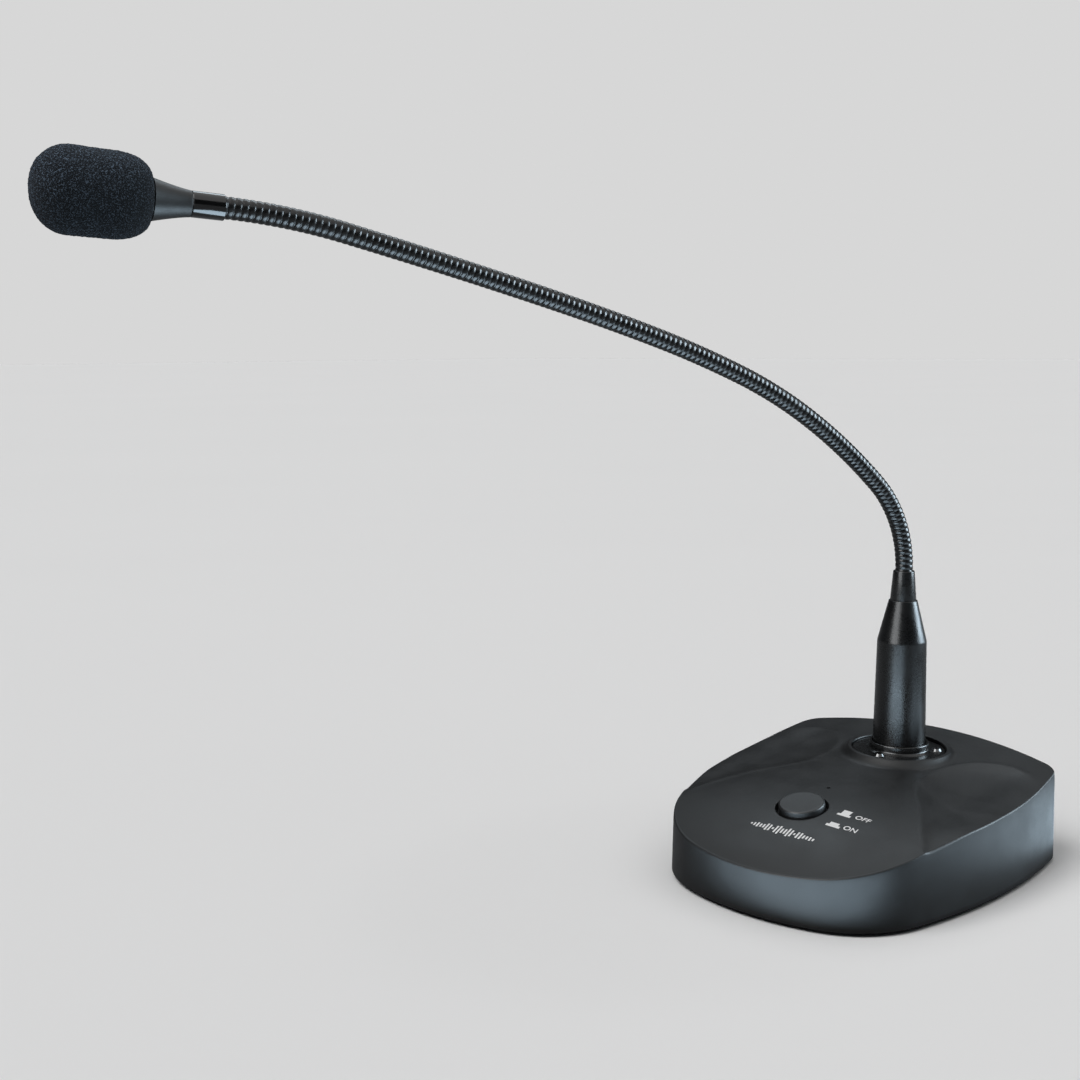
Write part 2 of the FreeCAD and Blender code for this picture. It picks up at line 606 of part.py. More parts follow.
flange_holes = round_flange("FlangeHole", "screw_shank + 0.2", FLANGE_SCREW_CIRCLE,
                            FLANGE_SCREW_ANGLES, "flange_top - 4", 8)
node(cut("StemFlange", flange, *flange_holes), "stem_socket_flange")
group("flange_screws", [screw(f"FlangeScrew{i}", 2.3, 1.0, "screw_shank", 5,
                              on_stem(z="flange_top", turn=Rotation(Z, angle))
                              * at(x=FLANGE_SCREW_CIRCLE))
                        for i, angle in enumerate(FLANGE_SCREW_ANGLES)])
PIN_ANGLES = [30, 150, 270]
socket_height = "flange_top - flange_thick - socket_bottom"
insulator = turned("Insulator", [(0, 0), ("socket_radius", 0), ("socket_radius", socket_height),
                                 ("socket_bore", socket_height),
                                 ("socket_bore", "socket_floor - socket_bottom"),
                                 (0, "socket_floor - socket_bottom")], on_stem(z="socket_bottom"))
wells = round_flange("ContactWell", "contact_radius", "contact_circle", PIN_ANGLES,
                     "socket_bottom + 1.5", 20)
tail_holes = round_flange("TailHole", 0.6, "contact_circle", PIN_ANGLES, "socket_bottom - 1", 5)
node(cut("StemSocket", insulator, *wells, *tail_holes), "stem_socket_body")
tubes = round_flange("ContactTube", "contact_radius", "contact_circle", PIN_ANGLES,
                     "socket_bottom + 1.5", "socket_floor - socket_bottom - 2")
bores = round_flange("ContactBore", "contact_bore", "contact_circle", PIN_ANGLES,
                     "socket_bottom + 2.7", 20)
solder_tails = round_flange("ContactTail", 0.6, "contact_circle", PIN_ANGLES, "socket_bottom - 1.5", 4)
group("stem_socket_contacts", [fuse(f"Contact{i}", cut(f"ContactCup{i}", tubes[i], bores[i]),
                                    solder_tails[i])
                               for i in range(3)])

# ---- stem: plug, sleeve, ferrule ----
sleeve = turned("SleeveBody", [("sleeve_foot_radius - sleeve_wall", 0), ("sleeve_foot_radius", 0),
                       ("shoulder_radius", "shoulder - sleeve_foot"),
                       ("cone_top_radius", "cone_top - sleeve_foot"),
                       ("cable_bore", "cone_top - sleeve_foot"),
                       ("cable_bore", "cone_top - sleeve_foot - 4"),
                       ("shoulder_radius - sleeve_wall", "shoulder - sleeve_foot - 4")],
            on_stem(z="sleeve_foot"), [("shoulder_radius", "shoulder - sleeve_foot", 3)])
set_screw_seat = on_stem(z="sleeve_foot + 7") * at(turn=Rotation(Z, 90)) * at(x=8.7, turn=Rotation(Y, 90))
node(cut("Sleeve", sleeve, cylinder("SetScrewHole", 1.15, 5, set_screw_seat)), "stem_sleeve")
nose_length, plug_neck = "sleeve_foot - nose_foot", "sleeve_foot_radius - sleeve_wall - 0.4"
plug = turned("PlugBlank", [(0, 0), ("socket_bore - 0.3", 0), ("socket_bore - 0.3", nose_length),
                            (plug_neck, nose_length), (plug_neck, "plug_top - nose_foot"),
                            (0, "plug_top - nose_foot")], on_stem(z="nose_foot"))
plug_holes = round_flange("PlugHole", "pin_radius", "contact_circle", PIN_ANGLES, "socket_floor", 40)
node(cut("PlugInsert", plug, *plug_holes), "stem_plug_insert")
group("stem_plug_pins", [turned(f"PlugPin{i}", [(0, 0), (0.7, 0), ("pin_radius", 0.8),
                                                ("pin_radius", 32), (0, 32)],
                                on_stem(z="socket_bottom + 3.2", turn=Rotation(Z, angle))
                                * at(x="contact_circle"))
                         for i, angle in enumerate(PIN_ANGLES)])
node(cylinder("SetScrew", 1.1, 1.8, set_screw_seat), "stem_set_screw")
ferrule_top = "neck_foot - joint_gap / 2"
node(turned("LowerFerrule", [("cable_bore", 0), ("ferrule_foot_radius", 0),
                             ("ferrule_top_radius", f"{ferrule_top} - cone_top"),
                             ("cable_bore", f"{ferrule_top} - cone_top")],
            on_stem(z="cone_top"), [("ferrule_top_radius", f"{ferrule_top} - cone_top", 0.3)]),
     "lower_ferrule")
node(cylinder("StemCable", "cable_radius", "neck_foot - cable_gap / 2 - cable_foot",
              on_stem(z="cable_foot")), "stem_cable")

# ---- neck: eight spans, each an arc of conduit with its piece of cable ----
neck_frames = [on_stem(z="neck_foot", turn=Rotation(Z, -90 - value("neck_heading")))]


def along_span(i, distance):
    """The frame at a distance along span i: Z is the tangent, X the way the span bends."""
    radius = value("span") / math.radians(NECK_BENDS[i])
    angle = distance / radius
    step = Placement(Vector(radius * (1 - math.cos(angle)), 0, radius * math.sin(angle)),
                     Rotation(Y, math.degrees(angle)))
    return neck_frames[i] * step


def bent_tube(name, i, radius, bore, gap):
    """One span of round tube or rod, short of its joints by half a gap at each end."""
    body = new_body(name, along_span(i, value(gap) / 2))
    sketch = new_sketch(body, name + "Ring", "XY_Plane")
    bend_radius = f"span * 180 / 3.14159265 / bend_of_{i + 1}"
    circle(sketch, radius)
    if bore:
        circle(sketch, bore)
    middle = value(bend_radius)
    line = sketch.addGeometry(Part.LineSegment(Vector(middle, -5, 0), Vector(middle, 5, 0)), True)
    for end, height in ((1, -5), (2, 5)):
        fix_point(sketch, line, end, bend_radius, height)
    turn = body.newObject("PartDesign::Revolution", name + "Bend")
    turn.Profile = sketch
    turn.ReferenceAxis = (sketch, ["Axis0"])
    bind(turn, Angle=f"bend_of_{i + 1} * ( span - {gap} ) / span")
    doc.recompute()
    if body.Shape.CenterOfMass.dot(neck_frames[i].Rotation.multVec(Z)) < body.Placement.Base.dot(
            neck_frames[i].Rotation.multVec(Z)):
        turn.Reversed = True
    return body


for i in range(len(NECK_BENDS)):
    node(bent_tube(f"Conduit{i + 1}", i, "conduit_radius", "conduit_bore", "joint_gap"),
         f"neck_conduit_{i + 1}")
    node(bent_tube(f"Cable{i + 1}", i, "cable_radius", None, "cable_gap"), f"neck_cable_{i + 1}")
    neck_frames.append(along_span(i, value("span")))

# ---- head ----
head = neck_frames[-1]


def on_head(z=0):
    return head * at(z=z)


node(turned("UpperFerrule", [("cable_bore", 0), ("upper_ferrule_radius", 0),
                             ("upper_ferrule_radius", "upper_ferrule_length"),
                             ("cable_bore", "upper_ferrule_length")],
            head, [("upper_ferrule_radius", 0, 0.3)]), "upper_ferrule")
node(turned("Boot", [("cable_bore", 0), ("upper_ferrule_radius + 0.1", 0),
                     ("upper_ferrule_radius + 0.5", 3.5),
                     ("boot_flare - 0.7", "boot_end - upper_ferrule_length - 4.5"),
                     ("boot_flare - 0.1", "boot_end - upper_ferrule_length - 1"),
                     ("boot_flare - 0.1", "boot_end - upper_ferrule_length"),
                     ("cable_bore", "boot_end - upper_ferrule_length")],
            on_head("upper_ferrule_length")), "strain_boot")
node(turned("Housing", [("cable_bore", 0), ("housing_radius", 0),
                        ("housing_radius", "housing_end - boot_end"),
                        ("housing_radius - housing_wall", "housing_end - boot_end"),
                        ("housing_radius - housing_wall", 1.2), ("cable_bore", 1.2)],
            on_head("boot_end")), "capsule_housing")
grille_disc = turned("GrilleDisc", [(0, 0), ("housing_radius", 0), ("housing_radius", "grille_thick"),
                                    (0, "grille_thick")], on_head("housing_end"))
grille_holes = [cylinder("GrilleHole0", 0.7, 5, on_head("housing_end - 2"))]
for ring, count in ((2.1, 6), (4.0, 12)):
    grille_holes += [cylinder(f"GrilleHole{count}x{k}", 0.6, 5, on_head("housing_end - 2")
                              * at(turn=Rotation(Z, 360 * k / count)) * at(x=ring))
                     for k in range(count)]
node(cut("Grille", grille_disc, *grille_holes), "capsule_grille")
capsule_foot = "housing_end - capsule_length - 1"
node(turned("Capsule", [(0, 0), ("capsule_radius - 0.3", 0), ("capsule_radius", 0.3),
                        ("capsule_radius", "capsule_length"), (1.2, "capsule_length"),
                        (1.2, "capsule_length - 0.6"), (0, "capsule_length - 0.6")],
            on_head(capsule_foot)), "microphone_capsule")
node(turned("Gasket", [("capsule_radius", 0), ("housing_radius - housing_wall", 0),
                       ("housing_radius - housing_wall", 4), ("capsule_radius", 4)],
            on_head(f"{capsule_foot} + 1")), "capsule_gasket")
node(turned("Foam", [("foam_bore", 0), ("foam_radius", 0), ("foam_radius", "foam_end - foam_start"),
                     (0, "foam_end - foam_start"), (0, "foam_bore_end - foam_start"),
                     ("foam_bore", "foam_bore_end - foam_start")], on_head("foam_start"),
            [("foam_radius", "foam_end - foam_start", "foam_front_round"),
             ("foam_radius", 0, "foam_back_round")]), "foam_windscreen")

# ---- leads inside the base ----
battery_leads = [pipe(f"BatteryLead{i}", points, 0.6, 1.5) for i, points in enumerate([
    [(19.3, 8, 8), (16.5, 8, 8), (16.5, -8, 8), (16.5, -20, 12), (16.5, -26, 14.6)],
    [(19.3, 14, 6), (14.2, 14, 6), (14.2, -8, 6), (14.2, -20, 10), (14.2, -26, 14.6)]])]
group("battery_leads", battery_leads)
stem_y = value("stem_along")
stem_leads = []
for i, angle in enumerate(PIN_ANGLES):
    x = value("contact_circle") * math.cos(math.radians(angle))
    y = stem_y + value("contact_circle") * math.sin(math.radians(angle))
    stem_leads.append(pipe(f"StemLead{i}", [(x, y, 16.5), (x, y, 11.5 - 0.1 * i),
                                            (-9 - 2 * i, 30, 10), (-9 - 2 * i, 0, 14),
                                            (-9 - 2 * i, -9.5, 18.5)], 0.5, 1.2))
group("stem_leads", stem_leads)
group("output_leads", [pipe(f"OutputLead{i}", [(x, 43.4, 8 + 2 * i), (x, 32, 8 + 2 * i),
                                               (x, 0, 12), (x, -9.5, 17.5)], 0.5, 1.2)
                       for i, x in enumerate((3, 5.5))])

# ---- check and write ----
doc.recompute()
for item in doc.Objects:
    if "Invalid" in item.State or "Error" in item.State:
        raise RuntimeError(f"{item.Name} did not compute: {item.State}")
for item in nodes:
    if item.Shape.isNull() or not item.Shape.isValid() or not item.Shape.Solids:
        raise RuntimeError(f"{item.Label} is not a valid solid")
os.makedirs("parts", exist_ok=True)
for item in nodes:
    item.Shape.exportStep(f"parts/{item.Label}.step")
    print(f"{item.Label}: {len(item.Shape.Solids)} solid(s), {item.Shape.Volume / 1000:.3f} cm3")
print(len(nodes), "nodes")
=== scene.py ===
"""The looks of a gooseneck desk microphone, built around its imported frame.

Sizes are in millimetres, in the frame of the part: +Z up, the front of the base
faces -Y, and the origin is on the table under the middle of the base. They turn
into metres where a mesh is made.
"""
import json
import math

import bpy
import numpy as np
from mathutils import Matrix, Quaternion, Vector, noise
from mathutils.geometry import delaunay_2d_cdt


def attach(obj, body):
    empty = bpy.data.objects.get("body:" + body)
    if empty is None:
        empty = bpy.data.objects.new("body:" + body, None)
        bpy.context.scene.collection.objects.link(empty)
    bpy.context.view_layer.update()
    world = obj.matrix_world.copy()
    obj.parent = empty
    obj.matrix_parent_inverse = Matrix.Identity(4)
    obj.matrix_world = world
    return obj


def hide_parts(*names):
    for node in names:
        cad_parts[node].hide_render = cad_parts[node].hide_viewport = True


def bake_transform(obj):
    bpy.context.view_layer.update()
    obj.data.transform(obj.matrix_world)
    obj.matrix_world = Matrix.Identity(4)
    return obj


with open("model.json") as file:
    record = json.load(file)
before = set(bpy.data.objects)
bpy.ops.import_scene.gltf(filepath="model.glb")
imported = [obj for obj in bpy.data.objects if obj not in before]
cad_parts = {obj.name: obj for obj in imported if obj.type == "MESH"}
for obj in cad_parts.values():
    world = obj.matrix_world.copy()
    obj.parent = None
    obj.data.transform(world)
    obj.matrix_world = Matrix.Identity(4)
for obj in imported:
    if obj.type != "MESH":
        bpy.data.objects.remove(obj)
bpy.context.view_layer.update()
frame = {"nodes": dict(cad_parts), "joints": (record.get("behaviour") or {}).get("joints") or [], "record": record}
MM = 0.001
TAU = 2 * math.pi

# ---- sizes that the frame doesn't spell out ----
FOOT_HEIGHT, WALL, DRAFT = 1.5, 2.5, math.tan(math.radians(1.3))
FRONT_ARC, SIDE_ARC, BACK_ARC = 90.0, 230.0, 211.0
FRONT_CORNER, BACK_CORNER = 40.0, 10.0
FRONT_REACH, BACK_REACH, SIDE_REACH, SIDE_MIDDLE = 71.2, 73.0, 62.8, 24.0
CROWN_ARC = 400.0
CROWN_LINE = [(-76.0, 15.5), (-71.2, 18.4), (-60.0, 24.0), (-49.6, 28.1), (-33.1, 32.6),
              (0.0, 36.3), (37.0, 39.0), (80.0, 43.6)]
DECK = (0.0, -33.1, 32.6)
DECK_TILT = math.radians(11.3)
BUTTON_HOLE = 10.1
CAP_RADIUS, CAP_TOP, CAP_FOOT, CAP_FLANGE, CAP_FLANGE_TOP = 8.8, 1.8, -4.3, 11.4, -3.1
LED_PLACE, LED_WINDOW = (0.0, -14.1), 0.8
STEM_Y, RIM_HEIGHT, RIM_RADIUS, RECESS_RADIUS = 40.4, 40.4, 20.6, 19.3
FLANGE_TOP, FLANGE_THICK, SOCKET_HOLE = 39.7, 1.4, 11.6
SLEEVE_FOOT, SHOULDER, CONE_TOP, CABLE_BORE, NECK_FOOT = 40.1, 86.0, 103.0, 2.3, 115.8
SCOOP_DEPTH = 1.55
NECK_PITCH, NECK_VALLEY, NECK_RIDGE, NECK_BORE = 2.2, 3.22, 0.36, 2.2
SPAN = 40.5
UPPER_FERRULE_END, BOOT_START, BOOT_END = 10.35, 10.4, 22.4
FOAM_START, FOAM_END, FOAM_RADIUS = 22.8, 58.0, 13.3
FOAM_BORE, FOAM_BORE_END = 6.5, 50.5
FOAM_BACK, FOAM_FRONT = (6.6, 11.5), (12.1, 11.2)      # radial and axial size of a shoulder
FOAM_SWELL, FOAM_CELL = 0.22, 0.20


# ---- materials ----
def new_material(name):
    """A material with only a Principled shader, and a helper that adds linked nodes."""
    material = bpy.data.materials.new(name)
    material.use_nodes = True
    tree = material.node_tree
    shader = tree.nodes["Principled BSDF"]

    def add(kind, inputs=(), **settings):
        made = tree.nodes.new(kind)
        for key, setting in settings.items():
            setattr(made, key, setting)
        for key, source in dict(inputs).items():
            if isinstance(source, bpy.types.NodeSocket):
                tree.links.new(source, made.inputs[key])
            else:
                made.inputs[key].default_value = source
        return made

    def link(source, socket):
        tree.links.new(source, shader.inputs[socket])

    return material, shader, add, link


def ramp(add, source, low, high, dark, light):
    """Colour that goes from dark to light as the source goes from low to high."""
    made = add("ShaderNodeValToRGB", {"Fac": source})
    for element, place, tone in zip(made.color_ramp.elements, (low, high), (dark, light)):
        element.position = place
        element.color = (*tone, 1)
    return made.outputs["Color"]


def finish(name, dark, light, rough, grain, depth, metallic=0.0, mottle=90.0, stretch=(1, 1, 1),
           **sockets):
    """A moulded, painted or metal surface: mottled tone, uneven gloss and a fine grain.

    rough is the least and greatest roughness, grain the size of a grain in mm and
    depth how tall the grain is in mm. stretch makes the grain run along one axis.
    """
    material, shader, add, link = new_material(name)
    place = add("ShaderNodeTexCoord").outputs["Object"]
    spread = add("ShaderNodeMapping", {"Vector": place, "Scale": stretch}).outputs["Vector"]
    cloud = add("ShaderNodeTexNoise", {"Vector": place, "Scale": mottle, "Detail": 4.0})
    fine = add("ShaderNodeTexNoise", {"Vector": spread, "Scale": 1 / (grain * MM), "Detail": 3.0})
    both = add("ShaderNodeMix", {"Factor": 0.45, "A": cloud.outputs["Fac"],
                                 "B": fine.outputs["Fac"]})
    link(ramp(add, both.outputs["Result"], 0.36, 0.64, dark, light), "Base Color")
    gloss = add("ShaderNodeMapRange", {"Value": both.outputs["Result"], "From Min": 0.35,
                                       "From Max": 0.65, "To Min": rough[0], "To Max": rough[1]})
    link(gloss.outputs["Result"], "Roughness")
    bump = add("ShaderNodeBump", {"Height": fine.outputs["Fac"], "Strength": 1.0,
                                  "Distance": depth * MM})
    link(bump.outputs["Normal"], "Normal")
    shader.inputs["Metallic"].default_value = metallic
    for key, setting in sockets.items():
        shader.inputs[key.replace("_", " ")].default_value = setting
    return material


def foam_finish():
    """Open-cell foam: dark cells, with pale specks painted into the colour as highlights where the cell walls
    would catch the light.
    """
    material, shader, add, link = new_material("open_cell_foam")
    place = add("ShaderNodeTexCoord").outputs["Object"]
    cells = add("ShaderNodeTexVoronoi", {"Vector": place, "Scale": 2300.0})
    specks = add("ShaderNodeTexNoise", {"Vector": place, "Scale": 2100.0, "Detail": 2.0,
                                        "Roughness": 0.6})
    walls = add("ShaderNodeMath", {0: specks.outputs["Fac"], 1: cells.outputs["Distance"]},
                operation="MULTIPLY")
    # painted highlight: the pale specks on the cell walls are light painted into the colour, over the foam's own
    # dark blue-black
    link(ramp(add, walls.outputs["Value"], 0.26, 0.41, (0.002, 0.004, 0.008),
              (0.095, 0.135, 0.185)), "Base Color")
    bump = add("ShaderNodeBump", {"Height": cells.outputs["Distance"], "Strength": 1.0,
                                  "Distance": 0.3 * MM})
    link(bump.outputs["Normal"], "Normal")
    shader.inputs["Roughness"].default_value = 0.95
    shader.inputs["Specular IOR Level"].default_value = 0.2
    shader.inputs["Sheen Weight"].default_value = 0.05
    shader.inputs["Sheen Tint"].default_value = (0.7, 0.8, 1.0, 1)
    return material


def grey(tone, blue=1.0):
    return (tone, tone * (1 + blue) / 2, tone * blue)


MATERIALS = {
    "shell_plastic": finish("charcoal_abs", grey(0.0065, 1.08), grey(0.0105, 1.08), (0.40, 0.52),
                            0.42, 0.022, Specular_IOR_Level=0.35),
    "button_plastic": finish("charcoal_button", grey(0.008, 1.1), grey(0.013, 1.1), (0.36, 0.48),
                             0.4, 0.012),
    "gloss_black": finish("gloss_black_lacquer", grey(0.004), grey(0.008, 1.1), (0.22, 0.34),
                          1.2, 0.004, Coat_Weight=0.15, Coat_Roughness=0.12),
    "zinc_sleeve": finish("satin_black_paint", grey(0.003, 1.1), grey(0.008, 1.15), (0.23, 0.35),
                          0.5, 0.03),
    "neck_steel": finish("black_gooseneck", grey(0.004), grey(0.008, 1.1), (0.22, 0.34),
                         0.8, 0.008),
    "boot_rubber": finish("boot_rubber", grey(0.007), grey(0.013, 1.1), (0.40, 0.55), 0.5, 0.02),
    "foot_rubber": finish("foot_rubber", grey(0.018), grey(0.030), (0.75, 0.9), 0.6, 0.04),
    "painted_steel": finish("black_painted_plate", grey(0.016), grey(0.026), (0.35, 0.5),
                            0.5, 0.02),
    "plated_screw": finish("black_plated_screw", grey(0.10), grey(0.17), (0.22, 0.36), 0.3, 0.006,
                           metallic=1.0),
    "cable_jacket": finish("cable_jacket", grey(0.012), grey(0.020), (0.5, 0.62), 0.5, 0.01),
    "foam": foam_finish(),
    "tray_plastic": finish("black_tray_plastic", grey(0.020), grey(0.030), (0.5, 0.65), 0.5, 0.02),
    "cell_steel": finish("cell_jacket", (0.16, 0.17, 0.19), (0.24, 0.25, 0.27), (0.3, 0.42), 0.6,
                         0.004, metallic=0.4),
    "spring_steel": finish("nickel_plate", grey(0.50), grey(0.62), (0.18, 0.30), 0.25, 0.004,
                           metallic=1.0, stretch=(1, 1, 0.2)),
    "contact_brass": finish("contact_brass", (0.55, 0.38, 0.16), (0.72, 0.52, 0.24), (0.2, 0.34),
                            0.3, 0.004, metallic=1.0),
    "board_laminate": finish("board_laminate", (0.010, 0.075, 0.032), (0.018, 0.12, 0.05),
                             (0.3, 0.42), 1.4, 0.02),
    "component_plastic": finish("component_sleeve", (0.012, 0.014, 0.03), (0.02, 0.024, 0.05),
                                (0.3, 0.4), 0.6, 0.006),
    "resistor_body": finish("resistor_body", (0.45, 0.33, 0.2), (0.58, 0.45, 0.3), (0.4, 0.5),
                            0.4, 0.01),
    "transformer_iron": finish("transformer_core", grey(0.18), grey(0.28), (0.4, 0.55), 0.35, 0.05,
                               metallic=0.8, stretch=(1, 1, 6)),
    "led_lens": finish("led_lens", (0.30, 0.012, 0.010), (0.42, 0.02, 0.016), (0.1, 0.16), 0.8,
                       0.002, Transmission_Weight=0.3),
    "lead_jacket": finish("lead_jacket", (0.36, 0.02, 0.018), (0.48, 0.03, 0.025), (0.4, 0.5),
                          0.5, 0.008),
    "ballast_iron": finish("cast_ballast", grey(0.07), grey(0.12), (0.55, 0.7), 0.7, 0.08,
                           metallic=0.7),
}
POLISHED = finish("polished_black", grey(0.004), grey(0.007, 1.1), (0.09, 0.17), 1.2, 0.003,
                  Coat_Weight=0.5, Coat_Roughness=0.05)
INK = finish("printed_ink", grey(0.72), grey(0.82), (0.5, 0.62), 0.3, 0.004)

slot_of = {part["node"]: part["material_slot"] for part in frame["record"]["subparts"]}
for node_name, item in frame["nodes"].items():
    item.data.materials.clear()
    item.data.materials.append(MATERIALS[slot_of[node_name]])


# ---- mesh helpers ----
def piece(name, points, faces, slot, body=None, replaced=(), sharp=40.0, material=None):
    """A new mesh from points in mm, smooth except where faces meet at a sharp angle."""
    mesh = bpy.data.meshes.new(name)
    mesh.from_pydata([tuple(np.asarray(p, float) * MM) for p in points], [], faces)
    mesh.validate()
    mesh.shade_smooth()
    mesh.set_sharp_from_angle(angle=math.radians(sharp))
    made = bpy.data.objects.new(name, mesh)
    bpy.context.scene.collection.objects.link(made)
    mesh.materials.append(material or MATERIALS[slot])
    if body:
        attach(made, body)
    if replaced:
        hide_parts(*replaced)
    return made


def bridge(first, second):
    """Quads between two closed loops of point numbers of the same count."""
    count = len(first)
    return [(first[i], first[(i + 1) % count], second[(i + 1) % count], second[i])
            for i in range(count)]


def rounded(corners, steps=6):
    """A profile of (radius, height) points whose corners are rounded.

    A corner is (radius, height) or (radius, height, rounding).
    """
    line = []
    for i, corner in enumerate(corners):
        here = np.array(corner[:2], float)
        size = corner[2] if len(corner) > 2 else 0
        if not size:
            line.append(here)
            continue
        before = np.array(corners[i - 1][:2], float) - here
        after = np.array(corners[(i + 1) % len(corners)][:2], float) - here
        before, after = before / np.linalg.norm(before), after / np.linalg.norm(after)
        half = math.acos(np.clip(before @ after, -1, 1)) / 2
        start, end = here + before * size / math.tan(half), here + after * size / math.tan(half)
        centre = here + (before + after) / np.linalg.norm(before + after) * size / math.sin(half)
        from_centre, to_centre = start - centre, end - centre
        turn = math.pi - 2 * half
        for k in range(steps + 1):
            t = k / steps
            line.append(centre + (from_centre * math.sin((1 - t) * turn)
                                  + to_centre * math.sin(t * turn)) / math.sin(turn))
    return line


def lathe(name, profile, place, slot, segments=96, closed=True, **more):
    """A piece turned about its own Z axis, set at a place; ends on the axis become points."""
    points, rings = [], []
    for radius, height in profile:
        if radius < 1e-6:
            rings.append([len(points)])
            points.append((0, 0, height))
            continue
        rings.append(list(range(len(points), len(points) + segments)))
        points += [(radius * math.cos(TAU * k / segments), radius * math.sin(TAU * k / segments),
                    height) for k in range(segments)]
    faces = []
    pairs = list(zip(rings, rings[1:])) + ([(rings[-1], rings[0])] if closed else [])
    for first, second in pairs:
        if len(first) == 1 and len(second) == 1:
            continue
        if len(first) == 1:
            faces += [(first[0], second[(k + 1) % segments], second[k]) for k in range(segments)]
        elif len(second) == 1:
            faces += [(first[k], first[(k + 1) % segments], second[0]) for k in range(segments)]
        else:
            faces += bridge(first, second)
    points = [place @ Vector(p) for p in points]
    return piece(name, points, faces, slot, **more)


def stand(x=0.0, y=0.0, z=0.0):
    return Matrix.Translation((x, y, z))


# ---- crown of the base ----
def spline(knots):
    """The natural cubic curve through the knots, as a function."""
    x, y = np.array(knots).T
    step = np.diff(x)
    count = len(x)
    system, right = np.eye(count), np.zeros(count)
    for i in range(1, count - 1):
        system[i, i - 1:i + 2] = step[i - 1], 2 * (step[i - 1] + step[i]), step[i]
        right[i] = 6 * ((y[i + 1] - y[i]) / step[i] - (y[i] - y[i - 1]) / step[i - 1])
    bend = np.linalg.solve(system, right)

    def at(place):
        i = np.clip(np.searchsorted(x, place) - 1, 0, count - 2)
        near, far, gap = place - x[i], x[i + 1] - place, step[i]
        return ((bend[i] * far ** 3 + bend[i + 1] * near ** 3) / (6 * gap)
                + (y[i] / gap - bend[i] * gap / 6) * far
                + (y[i + 1] / gap - bend[i + 1] * gap / 6) * near)

    return at


crown_line = spline(CROWN_LINE)


def ease(t):
    t = np.clip(t, 0, 1)
    return t * t * (3 - 2 * t)


def soft_max(a, b, blend):
    return np.maximum(a, b) + np.maximum(blend - np.abs(a - b), 0) ** 2 / (4 * blend)


SCOOP_NOTCH = np.array((54.0, -38.3))
SCOOP_MIDDLE, SCOOP_REACH = np.array((46.0, 22.0)), np.array((22.0, 29.0))
SCOOP_WEDGE = np.array((0.864, 0.504))


def scoop(x, y):
    """Depth of the shallow hollow in each wing, which starts at a notch in the side edge."""
    side = np.abs(x)
    away = np.hypot((side - SCOOP_MIDDLE[0]) / SCOOP_REACH[0],
                    (y - SCOOP_MIDDLE[1]) / SCOOP_REACH[1])
    oval = (1 - away) * SCOOP_REACH.mean()
    wedge = np.minimum((side - SCOOP_NOTCH[0]) * SCOOP_WEDGE[0]
                       + (y - SCOOP_NOTCH[1]) * SCOOP_WEDGE[1], 12.0 - y)
    signed = soft_max(oval, wedge, 3.0)
    inside = np.maximum(signed, 0)
    from_notch = ease(np.hypot(side - SCOOP_NOTCH[0], y - SCOOP_NOTCH[1]) / 26)
    fall, depth = 0.9 + 4.0 * from_notch, 0.75 + (SCOOP_DEPTH - 0.75) * from_notch
    soft = inside ** 2 / (inside + 0.5 + from_notch)
    at_edge = ease((side - 44) / 14)
    lip = 0.16 * (1 - at_edge) * np.exp(-((signed + 0.7) / 1.1) ** 2)
    return depth * (1 - 0.8 * at_edge * from_notch) * (1 - np.exp(-soft / fall)) - lip


def edge_drop(distance, size):
    """How far a rounded edge has dropped at a distance from its hole."""
    short = np.clip(size - distance, 0, size)
    return size - np.sqrt(size ** 2 - short ** 2)


def top(x, y):
    """Height of the top of the base."""
    height = crown_line(y) - (CROWN_ARC - np.sqrt(CROWN_ARC ** 2 - x ** 2)) - scoop(x, y)
    out = np.hypot(x, y - STEM_Y)
    rim = RIM_HEIGHT - 0.92 * np.maximum(out - RIM_RADIUS, 0)
    height = soft_max(height, rim, 1.1) - edge_drop(out - RECESS_RADIUS, 0.5)
    flat = np.hypot(x, (y - DECK[1]) / math.cos(DECK_TILT))
    return height - edge_drop(flat - BUTTON_HOLE, 0.35)


def top_at(x, y):
    """Height of the top of the base at one place."""
    return float(top(np.float64(x), np.float64(y)))


# ---- outline of the base ----
def outline(spacing):
    """Points round the base, counter-clockwise, each with its outward direction."""
    front = (np.array((0, FRONT_ARC - FRONT_REACH)), FRONT_ARC)
    side = (np.array((SIDE_REACH - SIDE_ARC, SIDE_MIDDLE)), SIDE_ARC)
    back = (np.array((0, BACK_REACH - BACK_ARC)), BACK_ARC)
    chain = [front, (corner_middle(front, side, FRONT_CORNER, True), FRONT_CORNER), side,
             (corner_middle(side, back, BACK_CORNER, False), BACK_CORNER), back]
    touches = []
    for first, second in zip(chain, chain[1:]):
        wide, tight = sorted((first, second), key=lambda arc: -arc[1])
        way = tight[0] - wide[0]
        touches.append(math.atan2(way[1], way[0]))
    ends = [-math.pi / 2, *touches, math.pi / 2]
    half = []
    for (middle, radius), start, end in zip(chain, ends, ends[1:]):
        count = max(4, round(radius * (end - start) / spacing))
        for k in range(count):
            a = start + (end - start) * k / count
            way = np.array((math.cos(a), math.sin(a)))
            half.append((middle + radius * way, way))
    half.append((np.array((0.0, BACK_REACH)), np.array((0.0, 1.0))))
    mirror = np.array((-1.0, 1.0))
    left = [(place * mirror, way * mirror) for place, way in reversed(half[1:-1])]
    both = half + left
    return np.array([p for p, _ in both]), np.array([w for _, w in both])


